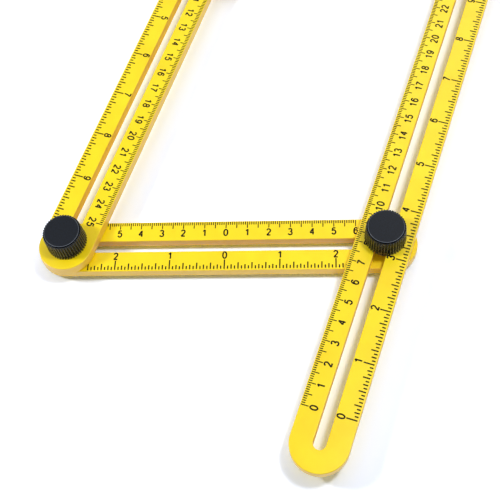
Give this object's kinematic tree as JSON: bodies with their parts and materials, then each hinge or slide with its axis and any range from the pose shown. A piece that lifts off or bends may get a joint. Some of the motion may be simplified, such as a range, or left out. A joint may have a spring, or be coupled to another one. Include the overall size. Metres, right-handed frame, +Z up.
{
  "type": "multi-angle folding ruler",
  "caption": "Folding angle ruler: slotted, graduated plastic arms joined by ribbed clamp knobs into an adjustable parallelogram for measuring and copying angles.",
  "frame": {"origin": "middle of the parallelogram of the four pivots, on the surface that the bolt heads stand on", "axes": "+Y along the long arms, +X across them to the right, +Z up through the knobs"},
  "size_m": [0.1686, 0.3566, 0.0245],
  "materials": {
    "arm_plastic": "moulded ABS, satin",
    "knob_plastic": "moulded, fine matt",
    "bolt_steel": "bright zinc plate",
    "washer_steel": "pressed, zinc plate",
    "insert_brass": "turned",
    "spacer_nylon": "moulded nylon"
  },
  "bodies": {
    "base": {"near_short_arm": "arm_plastic", "near_left_bolt": "bolt_steel"},
    "near_left_pivot": {"near_left_spacer": "spacer_nylon"},
    "left_arm": {"left_long_arm": "arm_plastic"},
    "far_left_pivot": {"far_left_spacer": "spacer_nylon"},
    "far_arm": {"far_short_arm": "arm_plastic", "far_left_bolt": "bolt_steel"},
    "far_right_pivot": {"far_right_bolt": "bolt_steel", "far_right_spacer": "spacer_nylon"},
    "near_right_slider": {"near_right_bolt": "bolt_steel"},
    "near_right_pivot": {"near_right_spacer": "spacer_nylon"},
    "right_arm": {"right_long_arm": "arm_plastic"},
    "near_left_cap": {"near_left_cap_washer": "washer_steel"},
    "near_left_clamp": {"near_left_knob": "knob_plastic", "near_left_insert": "insert_brass"},
    "near_right_cap": {"near_right_cap_washer": "washer_steel"},
    "near_right_clamp": {"near_right_knob": "knob_plastic", "near_right_insert": "insert_brass"},
    "far_left_cap": {"far_left_cap_washer": "washer_steel"},
    "far_left_clamp": {"far_left_knob": "knob_plastic", "far_left_insert": "insert_brass"},
    "far_right_cap": {"far_right_cap_washer": "washer_steel"},
    "far_right_clamp": {"far_right_knob": "knob_plastic", "far_right_insert": "insert_brass"}
  },
  "joints": [
    {"name": "fold", "type": "hinge", "parent": "base", "child": "near_left_pivot", "pos_m": [-0.06962, -0.11085, 0], "axis": [0, 0, 1], "range_deg": [-52, 87]},
    {"name": "left_arm_slide", "type": "slide", "parent": "near_left_pivot", "child": "left_arm", "axis": [0, -1, 0], "range_m": [-0.0016, 0.0986]},
    {"name": "far_arm_slide", "type": "slide", "parent": "near_left_pivot", "child": "far_left_pivot", "axis": [0, 1, 0], "range_m": [-0.101, 0]},
    {"name": "far_arm_swing", "type": "hinge", "parent": "far_left_pivot", "child": "far_arm", "pos_m": [-0.06962, 0.06695, 0], "axis": [0, 0, 1], "range_deg": [-87, 52]},
    {"name": "width_slide", "type": "slide", "parent": "base", "child": "near_right_slider", "axis": [0.9537, 0.3007, 0], "range_m": [-0.07, 0]},
    {"name": "far_right_slide", "type": "slide", "parent": "far_arm", "child": "far_right_pivot", "axis": [0.9537, 0.3007, 0], "range_m": [-0.07, 0]},
    {"name": "near_right_swing", "type": "hinge", "parent": "near_right_slider", "child": "near_right_pivot", "pos_m": [0.06962, -0.06695, 0], "axis": [0, 0, 1], "range_deg": [-52, 87]},
    {"name": "right_arm_slide", "type": "slide", "parent": "near_right_pivot", "child": "right_arm", "axis": [0, 1, 0], "range_m": [-0.0016, 0.0986]},
    {"name": "near_left_lift", "type": "slide", "parent": "base", "child": "near_left_cap", "axis": [0, 0, 1], "range_m": [0, 0.0008]},
    {"name": "near_left_turn", "type": "hinge", "parent": "near_left_cap", "child": "near_left_clamp", "pos_m": [-0.06962, -0.11085, 0], "axis": [0, 0, 1], "range_deg": [0, 360]},
    {"name": "near_right_lift", "type": "slide", "parent": "near_right_slider", "child": "near_right_cap", "axis": [0, 0, 1], "range_m": [0, 0.0008]},
    {"name": "near_right_turn", "type": "hinge", "parent": "near_right_cap", "child": "near_right_clamp", "pos_m": [0.06962, -0.06695, 0], "axis": [0, 0, 1], "range_deg": [0, 360]},
    {"name": "far_left_lift", "type": "slide", "parent": "far_arm", "child": "far_left_cap", "axis": [0, 0, 1], "range_m": [0, 0.0008]},
    {"name": "far_left_turn", "type": "hinge", "parent": "far_left_cap", "child": "far_left_clamp", "pos_m": [-0.06962, 0.06695, 0], "axis": [0, 0, 1], "range_deg": [0, 360]},
    {"name": "far_right_lift", "type": "slide", "parent": "far_right_pivot", "child": "far_right_cap", "axis": [0, 0, 1], "range_m": [0, 0.0008]},
    {"name": "far_right_turn", "type": "hinge", "parent": "far_right_cap", "child": "far_right_clamp", "pos_m": [0.06962, 0.11085, 0], "axis": [0, 0, 1], "range_deg": [0, 360]}
  ],
  "couplings": [
    {"joint": "far_arm_swing", "follows": "fold", "ratio": -1},
    {"joint": "near_right_swing", "follows": "fold", "ratio": 1},
    {"joint": "far_right_slide", "follows": "width_slide", "ratio": 1},
    {"joint": "near_left_lift", "follows": "near_left_turn", "m_per_rad": 0.000127},
    {"joint": "near_right_lift", "follows": "near_right_turn", "m_per_rad": 0.000127},
    {"joint": "far_left_lift", "follows": "far_left_turn", "m_per_rad": 0.000127},
    {"joint": "far_right_lift", "follows": "far_right_turn", "m_per_rad": 0.000127}
  ]
}
